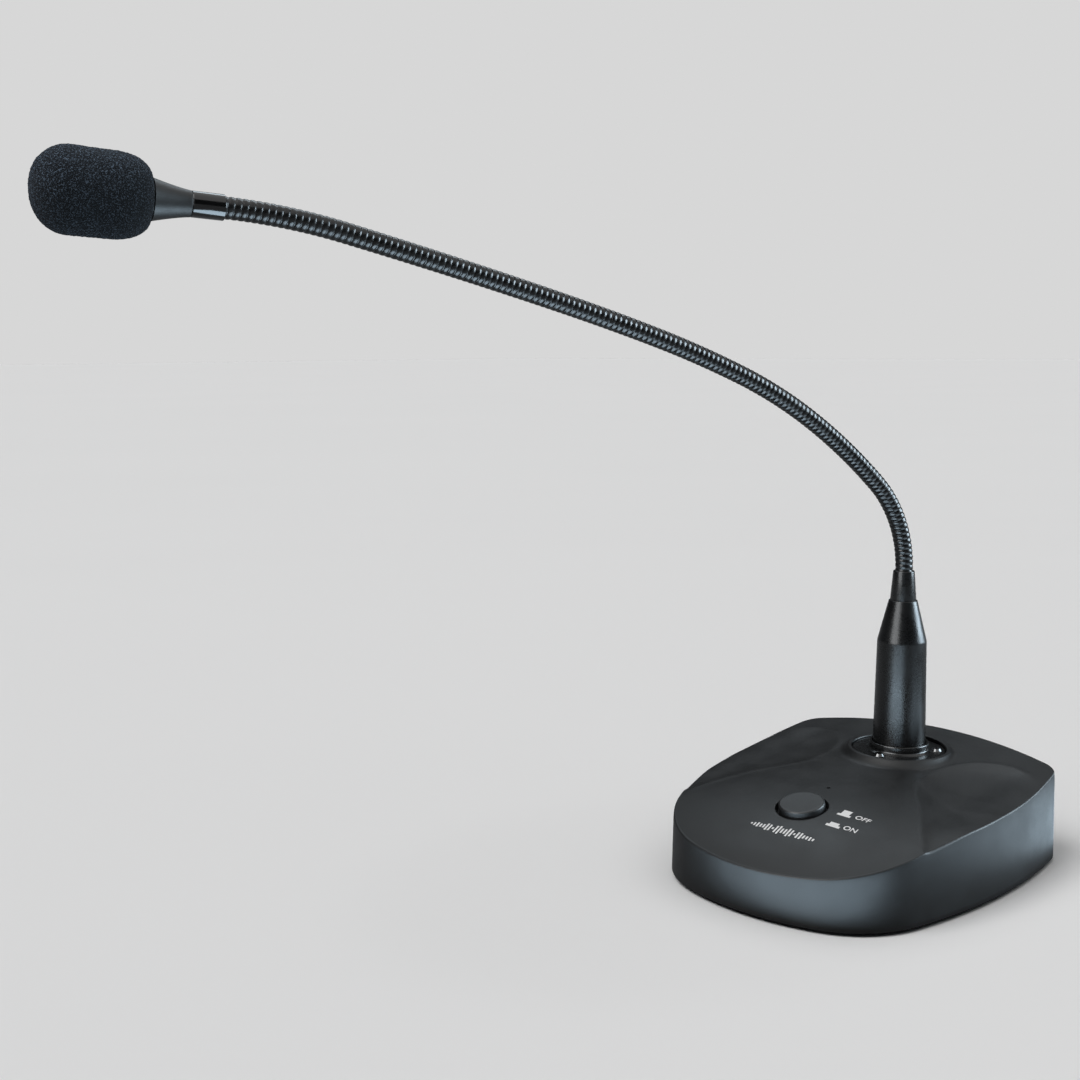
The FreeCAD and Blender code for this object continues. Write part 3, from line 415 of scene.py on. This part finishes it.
def corner_middle(first, second, radius, low):
    """Middle of an arc that touches two larger arcs from inside, on the right-hand side."""
    (one, one_radius), (two, two_radius) = first, second
    gap = two - one
    length = np.linalg.norm(gap)
    reach = one_radius - radius
    along = (reach ** 2 - (two_radius - radius) ** 2 + length ** 2) / (2 * length)
    across = math.sqrt(reach ** 2 - along ** 2)
    unit = gap / length
    normal = np.array((-unit[1], unit[0]))
    found = [one + unit * along + normal * across * sign for sign in (1, -1)]
    found = [place for place in found if place[0] > 0]
    return min(found, key=lambda place: place[1] if low else -place[1])


# ---- base shell ----
def round_loop(middle, radius, count, squash=1.0):
    return [(middle[0] + radius * math.cos(TAU * k / count),
             middle[1] + radius * squash * math.sin(TAU * k / count)) for k in range(count)]


RIM_SPACING, GRID = 0.55, 1.1
# middle, radius, points round it, squash along Y, and how far out the rings of points lie
OPENINGS = [
    (DECK[:2], BUTTON_HOLE, 144, math.cos(DECK_TILT), (0.04, 0.12, 0.25, 0.5, 1.0)),
    ((0.0, STEM_Y), RECESS_RADIUS, 240, 1.0,
     (0.05, 0.15, 0.3, 0.5, 0.9, 1.3, 1.8, 2.6, 3.4, 4.2, 5.0, 5.8, 6.6, 7.5)),
    (LED_PLACE, LED_WINDOW, 32, 1.0, (0.15, 0.4, 0.8)),
]


def reach_of(rim):
    """How far the rim lies from the middle, as a function of the direction of a place."""
    angles = np.arctan2(rim[:, 1], rim[:, 0])
    order = np.argsort(angles)
    reach = np.hypot(rim[:, 0], rim[:, 1])
    return lambda x, y: np.interp(np.arctan2(y, x), angles[order], reach[order], period=TAU)


def crown_sheet(rim, way, edge, reach_at):
    """Triangles that cover the crown in plan and leave its openings out.

    Gives the corners, the triangles, and the loop of the rim and of each opening.
    """
    points, loops = [], []

    def add_loop(loop):
        start = len(points)
        points.extend(map(tuple, loop))
        return list(range(start, len(points)))

    for k, inset in enumerate((0.0, 0.35, 0.9)):
        loop = add_loop(rim - way * (edge[:, None] + inset))
        if k == 0:
            loops.append(loop)
    for middle, radius, count, squash, steps in OPENINGS:
        loops.append(add_loop(round_loop(middle, radius, count, squash)))
        for step in steps:
            add_loop(round_loop(middle, radius + step, count, squash))
    for i, y in enumerate(np.arange(-80, 80, GRID * math.sqrt(3) / 2)):
        xs = np.arange(-70, 70, GRID) + (i % 2) * GRID / 2
        keep = np.hypot(xs, y) < reach_at(xs, np.full_like(xs, y)) - 3.0
        for middle, radius, _, _, steps in OPENINGS:
            keep &= np.hypot(xs - middle[0], y - middle[1]) > radius + steps[-1] + 0.6
        points.extend((x, y) for x in xs[keep])
    edges = [(a, b) for loop in loops for a, b in zip(loop, loop[1:] + loop[:1])]
    flat, _, faces, origin, _, _ = delaunay_2d_cdt([Vector(p) for p in points], edges, [], 1, 1e-6)
    number = {old: new for new, olds in enumerate(origin) for old in olds}
    loops = [[number[k] for k in loop] for loop in loops]
    xy = np.array([tuple(p) for p in flat])
    centres = np.array([xy[list(face)].mean(0) for face in faces])
    solid = np.ones(len(faces), bool)
    for middle, radius, count, squash, _ in OPENINGS:
        away = np.hypot(centres[:, 0] - middle[0], (centres[:, 1] - middle[1]) / squash)
        solid &= away > radius * math.cos(math.pi / count)
    return xy, [tuple(face) for face, keep in zip(faces, solid) if keep], loops


def under_crown(xy, upper, reach_at):
    """The inner skin: a wall below the crown, pulled in at the edge, lower round the stem."""
    distance = np.hypot(xy[:, 0], xy[:, 1])
    pull = ease((distance / reach_at(xy[:, 0], xy[:, 1]) - 0.85) / 0.15) * WALL
    inner = xy * (1 - pull / np.maximum(distance, 1))[:, None]
    near_stem = ease((28 - np.hypot(xy[:, 0], xy[:, 1] - STEM_Y)) / 5)
    return np.column_stack((inner, upper[:, 2] - WALL - 3.0 * near_stem))


def base_shell():
    """The moulded shell: crown with its openings, rounded edge, wall and inner skin."""
    rim, way = outline(RIM_SPACING)
    lift = (crown_line(rim[:, 1]) - FOOT_HEIGHT)[:, None]
    rim_top = rim - way * DRAFT * lift
    edge = 0.7 + 0.7 * ease(scoop(rim_top[:, 0], rim_top[:, 1]) / 0.8)
    reach_at = reach_of(rim_top)
    xy, faces, (rim_loop, button_loop, stem_loop, lamp_loop) = crown_sheet(
        rim_top, way, edge, reach_at)
    upper = np.column_stack((xy, top(xy[:, 0], xy[:, 1])))
    size = len(upper)
    vertices = np.vstack((upper, under_crown(xy, upper, reach_at))).tolist()
    faces = faces + [tuple(k + size for k in reversed(face)) for face in faces]

    def ring(places):
        start = len(vertices)
        vertices.extend(list(map(float, place)) for place in places)
        return list(range(start, len(vertices)))

    def inside(loop):
        return [k + size for k in loop]

    # outside: rounded top edge, drafted wall, lip, and up the inside of the wall
    brow = upper[rim_loop, 2]
    chain = [rim_loop]
    for step in range(1, 7):
        a = step / 6 * math.pi / 2
        inset, drop = edge * (1 - math.sin(a)), edge * (1 - math.cos(a))
        chain.append(ring(np.column_stack((rim_top - way * inset[:, None], brow - drop))))
    shoulder = brow - edge
    for step in range(1, 17):
        height = shoulder + (FOOT_HEIGHT + 0.4 - shoulder) * step / 16
        place = rim - way * (DRAFT * (height - FOOT_HEIGHT))[:, None]
        chain.append(ring(np.column_stack((place, height))))
    for inset, height in ((0.12, FOOT_HEIGHT + 0.12), (0.4, FOOT_HEIGHT), (WALL, FOOT_HEIGHT)):
        chain.append(ring(np.column_stack((rim - way * inset, np.full(len(rim), height)))))
    chain.append(inside(rim_loop))
    for first, second in zip(chain, chain[1:]):
        faces += bridge(second, first)
    # openings: straight through for the button and the lamp, a floored recess for the stem
    for loop in (button_loop, lamp_loop):
        faces += bridge(inside(loop), loop)
    floor_top = FLANGE_TOP - FLANGE_THICK
    chain = [stem_loop]
    for radius, height in ((RECESS_RADIUS, floor_top), (SOCKET_HOLE, floor_top),
                           (SOCKET_HOLE, floor_top - WALL)):
        circle = round_loop((0.0, STEM_Y), radius, len(stem_loop))
        chain.append(ring([(*place, height) for place in circle]))
    chain.append(inside(stem_loop))
    for first, second in zip(chain, chain[1:]):
        faces += bridge(second, first)
    piece("base_shell_skin", vertices, faces, "shell_plastic", "base", ["base_shell"], sharp=50)


base_shell()


# ---- what is printed on the base ----
def ink(name, shapes):
    """Flat closed shapes laid on the top of the base, each a list of (x, y) corners."""
    vertices, faces = [], []
    for corners in shapes:
        count, start = len(corners), len(vertices)
        for lift in (-0.05, 0.05):
            vertices += [(x, y, top_at(x, y) + lift) for x, y in corners]
        faces.append(tuple(range(start + count, start + 2 * count)))
        faces.append(tuple(reversed(range(start, start + count))))
        faces += [(start + k, start + (k + 1) % count, start + count + (k + 1) % count,
                   start + count + k) for k in range(count)]
    return piece(name, vertices, faces, "shell_plastic", "base", material=INK)


def bar(x0, x1, y0, y1):
    return [(x0, y0), (x1, y0), (x1, y1), (x0, y1)]


def word(name, text, left, foot, height):
    """A word of thin closed letters that stand on the line y = foot."""
    curve = bpy.data.curves.new(name, "FONT")
    curve.body = text
    curve.size = height / 0.72
    curve.extrude = 0.05
    curve.offset = 0.035
    curve.resolution_u = 6
    maker = bpy.data.objects.new(name + "_maker", curve)
    bpy.context.scene.collection.objects.link(maker)
    bpy.context.view_layer.update()
    evaluated = maker.evaluated_get(bpy.context.evaluated_depsgraph_get())
    mesh = bpy.data.meshes.new_from_object(evaluated)
    bpy.data.objects.remove(maker)
    points = []
    for vertex in mesh.vertices:
        x, y = left + vertex.co.x, foot + vertex.co.y
        points.append((x, y, top_at(x, y) + vertex.co.z))
    faces = [tuple(face.vertices) for face in mesh.polygons]
    bpy.data.meshes.remove(mesh)
    return piece(name, points, faces, "shell_plastic", "base", material=INK, sharp=20)


# a raised and a pressed button, for off and on
ink("off_mark", [bar(14.7, 20.2, -32.2, -30.9), bar(15.7, 19.2, -30.95, -27.9)])
ink("on_mark", [bar(14.9, 20.6, -40.5, -39.2), bar(15.9, 19.6, -39.25, -37.7)])
word("off_word", "OFF", 21.7, -31.5, 2.6)
word("on_word", "ON", 21.7, -39.9, 2.6)
# a plain sound wave of upright bars, tallest near the middle
WAVE_BARS, WAVE_MIDDLE, WAVE_PITCH, WAVE_HALF_BAR = 21, (2.5, -50.3), 1.35, 0.36
wave = []
for k in range(WAVE_BARS):
    bar_x = WAVE_MIDDLE[0] + (k - WAVE_BARS // 2) * WAVE_PITCH
    fade = math.sin(math.pi * (k + 1) / (WAVE_BARS + 1))
    half_height = 0.45 + 1.9 * abs(math.sin(k * 0.9)) * fade
    wave.append(bar(bar_x - WAVE_HALF_BAR, bar_x + WAVE_HALF_BAR,
                    WAVE_MIDDLE[1] - half_height, WAVE_MIDDLE[1] + half_height))
ink("sound_wave_mark", wave)

# ---- power button ----
deck = stand(*DECK) @ Matrix.Rotation(DECK_TILT, 4, "X")
lathe("power_button_cap",
      rounded([(0, CAP_FOOT), (CAP_FLANGE, CAP_FOOT, 0.3), (CAP_FLANGE, CAP_FLANGE_TOP, 0.3),
               (CAP_RADIUS + 0.2, CAP_FLANGE_TOP, 0.4), (CAP_RADIUS, CAP_TOP, 0.8),
               (CAP_RADIUS - 1.6, CAP_TOP - 0.04), (0, CAP_TOP - 0.1)]), deck,
      "button_plastic", closed=False, body="power_button", replaced=["power_button"])

# the spring under the button is pressed together between the switch and the cap
spring_node = frame["nodes"]["button_spring"]
spring_mesh = spring_node.data.copy()
spring_mesh.transform(spring_node.matrix_world)
spring = bpy.data.objects.new("button_spring_coil", spring_mesh)
bpy.context.scene.collection.objects.link(spring)
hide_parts("button_spring")
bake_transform(spring)

# ---- stem foot ----
socket_place = stand(0, STEM_Y, FLANGE_TOP - FLANGE_THICK)
lathe("stem_flange",
      rounded([(8.3, 0), (18.9, 0, 0.2), (18.9, 1.4, 0.45), (13.6, 1.4, 0.9), (12.3, 2.2, 0.7),
               (12.3, 4.9, 0.55), (11.0, 4.9, 0.3), (11.0, 1.2), (8.3, 1.2)]), socket_place,
      "gloss_black", body="base", replaced=["stem_socket_flange"])
lathe("stem_sleeve_skin",
      rounded([(8.8, SLEEVE_FOOT), (10.8, SLEEVE_FOOT, 0.3), (10.0, SHOULDER, 5.0),
               (5.75, CONE_TOP, 0.35), (CABLE_BORE, CONE_TOP), (CABLE_BORE, CONE_TOP - 4),
               (8.0, SHOULDER - 4)], 10), stand(0, STEM_Y, 0), "zinc_sleeve", body="stem",
      replaced=["stem_sleeve"])
ferrule_top, ferrule_foot = NECK_FOOT - 0.5, CONE_TOP + 0.02
lathe("lower_ferrule_skin",
      rounded([(CABLE_BORE, ferrule_foot), (5.3, ferrule_foot, 0.15), (4.3, ferrule_top, 0.45),
               (CABLE_BORE, ferrule_top)]), stand(0, STEM_Y, 0),
      "gloss_black", body="stem", replaced=["lower_ferrule"])


# ---- neck ----
joint = {j["name"]: j for j in frame["joints"]}
HEAD_WAY = Vector(joint["windscreen_pull"]["axis"]).normalized()
neck_joints = [j for j in frame["joints"] if j["name"].startswith("neck_")]


def neck_spans():
    """Start, direction, bend direction and bend of each span, which is an arc of a circle."""
    starts = [Vector(j["pos_m"]) / MM for j in neck_joints]
    way, spans = Vector((0, 0, 1)), []
    for i, start in enumerate(starts):
        if i + 1 < len(starts):
            chord = (starts[i + 1] - start).normalized()
            after = (chord * (2 * way.dot(chord)) - way).normalized()
        else:
            after = HEAD_WAY
        bend = way.angle(after)
        aside = (after - way * after.dot(way)).normalized()
        spans.append((start, way, aside, bend))
        way = after
    return spans


spans = neck_spans()
neck_side = spans[0][1].cross(spans[0][2]).normalized()


def along_neck(distance):
    """Place and direction at a distance along the neck from its foot."""
    i = min(max(int(distance // SPAN), 0), len(spans) - 1)
    start, way, aside, bend = spans[i]
    rest = distance - i * SPAN
    inside = min(max(rest, 0.0), SPAN)
    radius = SPAN / bend
    a = inside / radius
    place = start + way * (radius * math.sin(a)) + aside * (radius * (1 - math.cos(a)))
    heading = way * math.cos(a) + aside * math.sin(a)
    return place + heading * (rest - inside), heading


def ridge(turns):
    """Height of the wound wire above the valley, at a number of turns along the helix."""
    return NECK_RIDGE * abs(math.sin(math.pi * turns)) ** 0.55


def neck_piece(name, start, end, **more):
    """A hollow length of gooseneck whose outside is wound with one helical ridge."""
    segments, per_turn = 44, 11
    count = max(2, round((end - start) / NECK_PITCH * per_turn))
    vertices, outer, inner = [], [], []
    for k in range(count + 1):
        distance = start + (end - start) * k / count
        place, heading = along_neck(distance)
        up = neck_side.cross(heading)
        lines = [(outer, None)]
        if k % per_turn == 0 or k == count:
            lines.append((inner, NECK_BORE))
        for rings, bore in lines:
            rings.append(list(range(len(vertices), len(vertices) + segments)))
            for s in range(segments):
                turn = s / segments
                radius = bore or NECK_VALLEY + ridge(distance / NECK_PITCH - turn)
                vertices.append(place + neck_side * (radius * math.cos(TAU * turn))
                                + up * (radius * math.sin(TAU * turn)))
    faces = []
    for first, second in zip(outer, outer[1:]):
        faces += bridge(second, first)
    for first, second in zip(inner, inner[1:]):
        faces += bridge(first, second)
    faces += bridge(outer[0], inner[0]) + bridge(inner[-1], outer[-1])
    return piece(name, vertices, faces, "neck_steel", sharp=75, **more)


neck_length = SPAN * len(spans)
for i in range(len(spans)):
    first = -0.8 if i == 0 else (i - 0.5) * SPAN
    last = (i + 0.5) * SPAN
    length = neck_piece(f"gooseneck_{i + 1}", first, last)
    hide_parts(f"neck_conduit_{i + 1}")
    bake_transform(length)
neck_piece(f"gooseneck_{len(spans) + 1}", neck_length - SPAN / 2, neck_length + 0.5, body="head")

# ---- head ----
head_origin = along_neck(neck_length)[0]
head_up = neck_side.cross(HEAD_WAY)
head_turn = Matrix((neck_side, head_up, HEAD_WAY)).transposed().to_4x4()
head = Matrix.Translation(head_origin) @ head_turn
lathe("upper_ferrule_skin",
      rounded([(CABLE_BORE, 0), (4.1, 0, 0.35), (4.1, UPPER_FERRULE_END, 0.25),
               (CABLE_BORE, UPPER_FERRULE_END)]), head, "gloss_black",
      material=POLISHED, body="head", replaced=["upper_ferrule"])


def flare(t):
    """Radius of the rubber boot, from its foot at t = 0 to its mouth at t = 1."""
    return 4.15 + 2.45 * t ** 1.25


boot_profile = [(CABLE_BORE, BOOT_START), (3.95, BOOT_START), (4.12, BOOT_START + 0.15)]
boot_profile += [(flare(k / 16), BOOT_START + 0.25 + (BOOT_END - BOOT_START - 0.4) * k / 16)
                 for k in range(17)]
boot_profile += [(6.5, BOOT_END - 0.04), (6.35, BOOT_END), (CABLE_BORE, BOOT_END)]
lathe("strain_boot_skin", boot_profile, head, "boot_rubber", body="head", replaced=["strain_boot"])


def foam_section():
    """Closed half section of the foam ball, with an elliptical shoulder at the back and front."""
    section = [(FOAM_BORE, FOAM_START)]
    for k in range(25):
        a = math.pi / 2 * (k / 24 - 1)
        section.append((FOAM_RADIUS - FOAM_BACK[0] * (1 - math.cos(a)),
                        FOAM_START + FOAM_BACK[1] * (1 + math.sin(a))))
    for k in range(25):
        a = math.pi / 2 * k / 24
        section.append((FOAM_RADIUS - FOAM_FRONT[0] * (1 - math.cos(a)),
                        FOAM_END - FOAM_FRONT[1] * (1 - math.sin(a))))
    section += [(0, FOAM_END), (0, FOAM_BORE_END), (FOAM_BORE, FOAM_BORE_END)]
    return [np.array(place, float) for place in section]


def windscreen():
    """Foam ball with a deep bore; its skin is uneven with open cells."""
    section = foam_section()
    step, line = 0.45, []
    for a, b in zip(section, section[1:] + section[:1]):
        outside = max(a[0], b[0]) > FOAM_BORE + 0.1
        count = max(1, round(np.linalg.norm(b - a) / step)) if outside else 2
        on_axis = a[0] < 1e-6 and b[0] < 1e-6
        line += [a] if on_axis else [a + (b - a) * k / count for k in range(count)]
    line = [p for i, p in enumerate(line) if i == 0 or np.linalg.norm(p - line[i - 1]) > 0.05]
    foam = lathe("foam_windscreen_skin", line, head, "foam", segments=208, body="windscreen",
                 replaced=["foam_windscreen"], sharp=180)
    inverse = head.inverted()
    for vertex in foam.data.vertices:
        local = inverse @ (vertex.co / MM)
        out = math.hypot(local.x, local.y)
        if out < FOAM_BORE + 0.1 and local.z < FOAM_BORE_END + 0.1:
            continue
        way = Vector((local.x / FOAM_RADIUS, local.y / FOAM_RADIUS,
                      (local.z - (FOAM_START + FOAM_END) / 2) / 22)).normalized()
        swell = FOAM_SWELL * noise.noise(local / 9.0)
        cell = FOAM_CELL * (noise.noise(local / 0.75) + 0.5 * noise.noise(local / 0.38))
        vertex.co = head @ (local + way * (swell + cell)) * MM


windscreen()

# ---- stage, lights and camera ----
scene = bpy.context.scene
scene.view_settings.view_transform = "Standard"
BACKDROP = (0.68, 0.68, 0.68)

bpy.ops.mesh.primitive_plane_add(size=40)
floor = bpy.context.object
floor.name = "floor"
floor_material, floor_shader, floor_add, floor_link = new_material("pale_floor")
floor_place = floor_add("ShaderNodeTexCoord").outputs["Object"]
floor_cloud = floor_add("ShaderNodeTexNoise", {"Vector": floor_place, "Scale": 1.5})
floor_tone = ramp(floor_add, floor_cloud.outputs["Fac"], 0.3, 0.7, grey(0.824), grey(0.830))
floor_link(floor_tone, "Base Color")
floor_shader.inputs["Roughness"].default_value = 0.9
floor_shader.inputs["Specular IOR Level"].default_value = 0.0
# what the object sees of the floor is darker, as if black cards stood round it
floor_tree = floor_material.node_tree
card = floor_add("ShaderNodeBsdfDiffuse", {"Color": (0.30, 0.31, 0.32, 1)})
direct = floor_add("ShaderNodeLightPath").outputs["Is Camera Ray"]
both_floors = floor_add("ShaderNodeMixShader", {0: direct, 1: card.outputs["BSDF"],
                                                2: floor_shader.outputs["BSDF"]})
floor_tree.links.new(both_floors.outputs["Shader"],
                     floor_tree.nodes["Material Output"].inputs["Surface"])
floor.data.materials.append(floor_material)

world = bpy.data.worlds.new("studio")
scene.world = world
world.use_nodes = True
tree = world.node_tree
tree.nodes["Background"].inputs["Color"].default_value = (0.86, 0.93, 1.0, 1)
tree.nodes["Background"].inputs["Strength"].default_value = 0.03
seen = tree.nodes.new("ShaderNodeBackground")
seen.inputs["Color"].default_value = (*BACKDROP, 1)
rays = tree.nodes.new("ShaderNodeLightPath")
mix = tree.nodes.new("ShaderNodeMixShader")
tree.links.new(rays.outputs["Is Camera Ray"], mix.inputs["Fac"])
tree.links.new(tree.nodes["Background"].outputs["Background"], mix.inputs[1])
tree.links.new(seen.outputs["Background"], mix.inputs[2])
tree.links.new(mix.outputs["Shader"], tree.nodes["World Output"].inputs["Surface"])


def heading(azimuth, elevation):
    """Direction towards a place in the sky; azimuth runs from +X towards +Y, in degrees."""
    a, e = math.radians(azimuth), math.radians(elevation)
    return Vector((math.cos(a) * math.cos(e), math.sin(a) * math.cos(e), math.sin(e)))


def sun(name, azimuth, elevation, strength, spread):
    """Even light from one side, with soft shadows."""
    light = bpy.data.lights.new(name, "SUN")
    light.energy = strength
    light.angle = math.radians(spread)
    made = bpy.data.objects.new(name, light)
    made.rotation_euler = heading(azimuth, elevation).to_track_quat("Z", "Y").to_euler()
    scene.collection.objects.link(made)


def softbox(name, azimuth, elevation, wide, tall, power, tint=(1, 1, 1), distance=1.6):
    """A lit panel seen only in gloss, so that the floor stays even."""
    light = bpy.data.lights.new(name, "AREA")
    light.shape = "RECTANGLE"
    light.size, light.size_y = wide, tall
    light.energy = power
    light.color = tint
    made = bpy.data.objects.new(name, light)
    aim = Vector((0, 0, 0.08))
    made.location = aim + heading(azimuth, elevation) * distance
    made.rotation_euler = heading(azimuth, elevation).to_track_quat("Z", "Y").to_euler()
    made.visible_diffuse = False
    made.visible_camera = False
    scene.collection.objects.link(made)


def floor_glow(name, azimuth, near, far, wide, power, tint):
    """A lit panel lying on the floor, seen only in gloss, that lights up upright walls."""
    light = bpy.data.lights.new(name, "AREA")
    light.shape = "RECTANGLE"
    light.size, light.size_y = far - near, wide
    light.energy = power
    light.color = tint
    made = bpy.data.objects.new(name, light)
    made.location = heading(azimuth, 0) * (near + far) / 2 + Vector((0, 0, 0.003))
    made.rotation_euler = (math.pi, 0, math.radians(azimuth))
    made.visible_diffuse = False
    made.visible_camera = False
    scene.collection.objects.link(made)


sun("key", -110, 55, 1.6, 35)
sun("overhead", 40, 80, 1.2, 90)
softbox("front_panel", -98, 24, 1.0, 1.3, 20, (0.95, 0.98, 1.0))
softbox("side_panel", 48, 18, 0.9, 0.9, 40, (0.72, 0.88, 1.0))
softbox("back_panel", 133, 52, 1.0, 0.5, 4.5, (0.80, 0.92, 1.0))
floor_glow("front_glow", -74, 0.08, 0.30, 0.20, 1.1, (0.66, 0.85, 1.0))
floor_glow("side_glow", 30, 0.09, 0.26, 0.20, 0.28, (0.66, 0.85, 1.0))

CAMERA_PLACE = Vector((0.2831, -0.4782, 0.2071))
CAMERA_AIM = Vector((-0.0911, -0.0821, 0.1324))
CAMERA_ROLL = math.radians(-0.31)
camera_data = bpy.data.cameras.new("camera")
camera_data.sensor_width = 36.0
camera_data.lens = 46.667
camera = bpy.data.objects.new("camera", camera_data)
camera.location = CAMERA_PLACE
look = (CAMERA_AIM - CAMERA_PLACE).to_track_quat("-Z", "Y")
camera.rotation_mode = "QUATERNION"
camera.rotation_quaternion = look @ Quaternion((0, 0, 1), CAMERA_ROLL)
scene.collection.objects.link(camera)
scene.camera = camera
